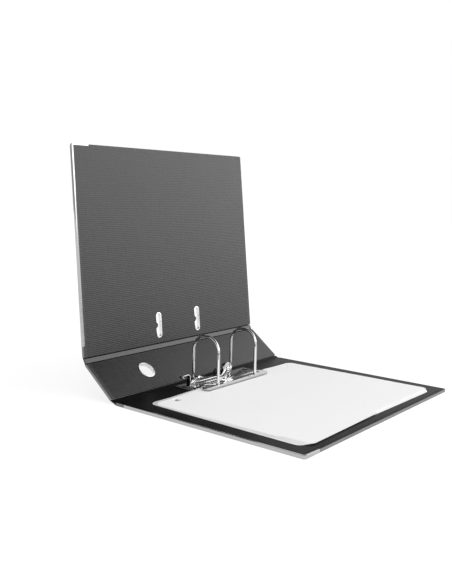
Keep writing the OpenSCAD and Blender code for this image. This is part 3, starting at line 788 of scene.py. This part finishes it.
ground = bmesh.new()
bmesh.ops.create_grid(ground, x_segments=1, y_segments=1, size=FLOOR_HALF)
floor_mesh = to_mesh(ground, "floor")
floor_mesh.materials.append(floor_finish())
floor = bpy.data.objects.new("floor", floor_mesh)
bpy.context.scene.collection.objects.link(floor)
floor.location.z = cad_box[0][2] - FLOOR_GAP
print("floor at", floor.location.z)

# %% [markdown]
# ## The room
#
# To the camera the room is white. What the gloss mirrors is a pale wall that is brightest
# behind and to the right, and turns dark overhead, as under a studio ceiling. Matt
# surfaces get an even, low light from all of it.

# %% Paint the room
world = bpy.data.worlds.new("studio")
bpy.context.scene.world = world
world.use_nodes = True
world.node_tree.nodes.clear()
sky = Value(world.node_tree)
seen = sky.node("ShaderNodeLightPath", output="Is Camera Ray")
mirrored = sky.node("ShaderNodeLightPath", output="Is Glossy Ray")
direction = sky.node("ShaderNodeTexCoord", output="Generated")
height = sky.node("ShaderNodeSeparateXYZ", {}, {0: direction}, "Z")
depth = sky.node("ShaderNodeSeparateXYZ", {}, {0: direction}, "Y")
side = sky.node("ShaderNodeSeparateXYZ", {}, {0: direction}, "X")
below_ceiling = 1 - height.clear_of(0.45, 0.85)
towards_back = 0.5 + 0.5 * depth.clear_of(-0.7, 0.2)
towards_right = 0.65 + 0.35 * side.clear_of(-0.6, -0.1)
wall = below_ceiling * towards_back * towards_right
level = seen + (1 - seen) * (mirrored * (0.05 + 1.3 * wall) + (1 - mirrored) * 0.35)
room = sky.node("ShaderNodeBackground", {}, {"Color": grey(1), "Strength": level})
end_tree(room, "ShaderNodeOutputWorld")
print("room:", len(world.node_tree.nodes), "nodes")

# %% [markdown]
# ## The lamps
#
# Three soft lamps light the file. A large one stands to the right and behind, where the
# upright cover mirrors it. A small one stands low in front, for the near edges. A wide one
# hangs over the paper. It is kept out of reflections, so that bright metal has the dark
# tops that it gets under a dark ceiling.

# %% Set up the lamps
def lamp(name, place, target, wide, tall, radiance):
    """A soft lamp of a size in metres, turned to its target."""
    light = bpy.data.lights.new(name, "AREA")
    light.shape = "RECTANGLE"
    light.size, light.size_y = wide, tall
    light.energy = math.pi * wide * tall * radiance
    holder = bpy.data.objects.new(name, light)
    bpy.context.scene.collection.objects.link(holder)
    holder.location = place
    holder.rotation_euler = (Vector(target) - Vector(place)).to_track_quat("-Z", "Y").to_euler()
    return holder


lamp("side_lamp", (1.6, 1.8, 1.35), (-0.1, 0, 0.1), 3.2, 2.6, 1.8)
lamp("fill_lamp", (1.2, -1.7, 0.55), (0.05, 0, 0.05), 1.4, 0.9, 1.6)
overhead = lamp("overhead_lamp", (0.3, -0.2, 1.8), (0.05, 0, 0), 1.6, 1.6, 2.2)
overhead.visible_glossy = False
print("lamps:", len(bpy.data.lights))

# %% [markdown]
# ## The camera
#
# The camera stands low and to the right of the near edge, as a buyer would see the file on
# a table. Its direction is worked out from two angles and a slight roll.

# %% Set up the camera
VIEW_AZIMUTH, VIEW_HEIGHT, VIEW_ROLL = (math.radians(angle) for angle in (38.92, 3.06, 1.21))
VIEW_PLACE = (0.60994, -0.78546, 0.25975)

camera_data = bpy.data.cameras.new("camera")
camera_data.sensor_width = 36
camera_data.lens = 46.03
camera_data.shift_y = -0.1027
camera_data.clip_start = 0.05
camera_data.clip_end = 20
camera = bpy.data.objects.new("camera", camera_data)
bpy.context.scene.collection.objects.link(camera)
back = Vector((math.sin(VIEW_AZIMUTH) * math.cos(VIEW_HEIGHT),
               -math.cos(VIEW_AZIMUTH) * math.cos(VIEW_HEIGHT), math.sin(VIEW_HEIGHT)))
right = Vector((0, 0, 1)).cross(back).normalized()
up = back.cross(right)
turned_right = right * math.cos(VIEW_ROLL) + up * math.sin(VIEW_ROLL)
turned_up = up * math.cos(VIEW_ROLL) - right * math.sin(VIEW_ROLL)
turn = Matrix((turned_right, turned_up, back)).transposed().to_4x4()
camera.matrix_world = Matrix.Translation(VIEW_PLACE) @ turn
bpy.context.scene.camera = camera
bpy.context.scene.view_settings.view_transform = "Standard"
print("camera at", VIEW_PLACE)

# %% [markdown]
